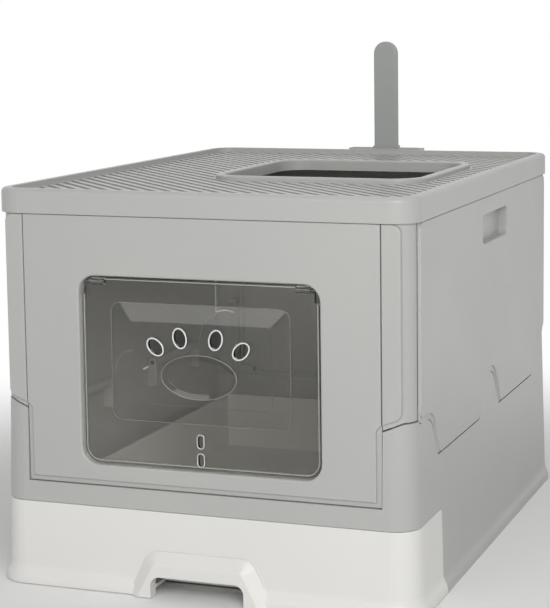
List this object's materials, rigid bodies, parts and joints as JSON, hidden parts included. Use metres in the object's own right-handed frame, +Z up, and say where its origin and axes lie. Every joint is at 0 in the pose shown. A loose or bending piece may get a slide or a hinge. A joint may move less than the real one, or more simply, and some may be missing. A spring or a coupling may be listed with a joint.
{
  "type": "foldable litter box",
  "caption": "Covered foldable cat litter box with a clear swing flap, a slide-out litter drawer, a ribbed top with a rounded entry, folding walls and a scoop held at the rear.",
  "frame": {"origin": "centre of the base's footprint on the floor", "axes": "+Z up, front with the flap and the drawer pull faces -Y, +X is the right-hand side"},
  "size_m": [0.4202, 0.5654, 0.5006],
  "materials": {
    "grey": "fine matte",
    "white": "satin",
    "smoky": "clear smoky polycarbonate",
    "scoop_grey": "matte",
    "dark": "matte"
  },
  "bodies": {
    "base": {"base_shell": "grey", "base_floor": "grey", "front_panel_pins": "dark", "rear_panel_pins": "dark", "right_hinge_rods": "dark", "left_hinge_rods": "dark", "front_frame_pins": "dark", "rear_frame_pins": "dark"},
    "drawer": {"litter_drawer": "white"},
    "front_wall": {"front_panel": "grey", "flap_pins": "dark"},
    "swing_flap": {"flap": "smoky"},
    "rear_wall": {"rear_panel": "grey"},
    "right_wall": {"right_side_panel": "grey"},
    "left_wall": {"left_side_panel": "grey"},
    "front_posts": {"front_frame": "grey"},
    "rear_posts": {"rear_frame": "grey"},
    "top": {"lid": "grey", "scoop_holder": "grey"},
    "hand_scoop": {"scoop": "scoop_grey"}
  },
  "joints": [
    {"name": "drawer_slide", "type": "slide", "parent": "base", "child": "drawer", "axis": [0, -1, 0], "range_m": [0, 0.4]},
    {"name": "front_wall_fold", "type": "hinge", "parent": "base", "child": "front_wall", "pos_m": [0, -0.258, 0.106], "axis": [-1, 0, 0], "range_deg": [0, 90]},
    {"name": "flap_swing", "type": "hinge", "parent": "front_wall", "child": "swing_flap", "pos_m": [0, -0.262, 0.2902], "axis": [-1, 0, 0], "range_deg": [-75, 75]},
    {"name": "rear_wall_fold", "type": "hinge", "parent": "base", "child": "rear_wall", "pos_m": [0, 0.258, 0.106], "axis": [1, 0, 0], "range_deg": [0, 90]},
    {"name": "right_wall_fold", "type": "hinge", "parent": "base", "child": "right_wall", "pos_m": [0.195, 0, 0.138], "axis": [0, 1, 0], "range_deg": [-90, 0]},
    {"name": "left_wall_fold", "type": "hinge", "parent": "base", "child": "left_wall", "pos_m": [-0.195, 0, 0.15], "axis": [0, -1, 0], "range_deg": [-90, 0]},
    {"name": "front_posts_fold", "type": "hinge", "parent": "base", "child": "front_posts", "pos_m": [0, -0.2516, 0.188], "axis": [1, 0, 0], "range_deg": [-90, 0]},
    {"name": "rear_posts_fold", "type": "hinge", "parent": "base", "child": "rear_posts", "pos_m": [0, 0.2516, 0.188], "axis": [-1, 0, 0], "range_deg": [-90, 0]},
    {"name": "lid_lift", "type": "slide", "parent": "base", "child": "top", "axis": [0, 0, 1], "range_m": [0, 0.2]},
    {"name": "scoop_pull", "type": "slide", "parent": "top", "child": "hand_scoop", "axis": [0, 0, 1], "range_m": [0, 0.16]}
  ]
}
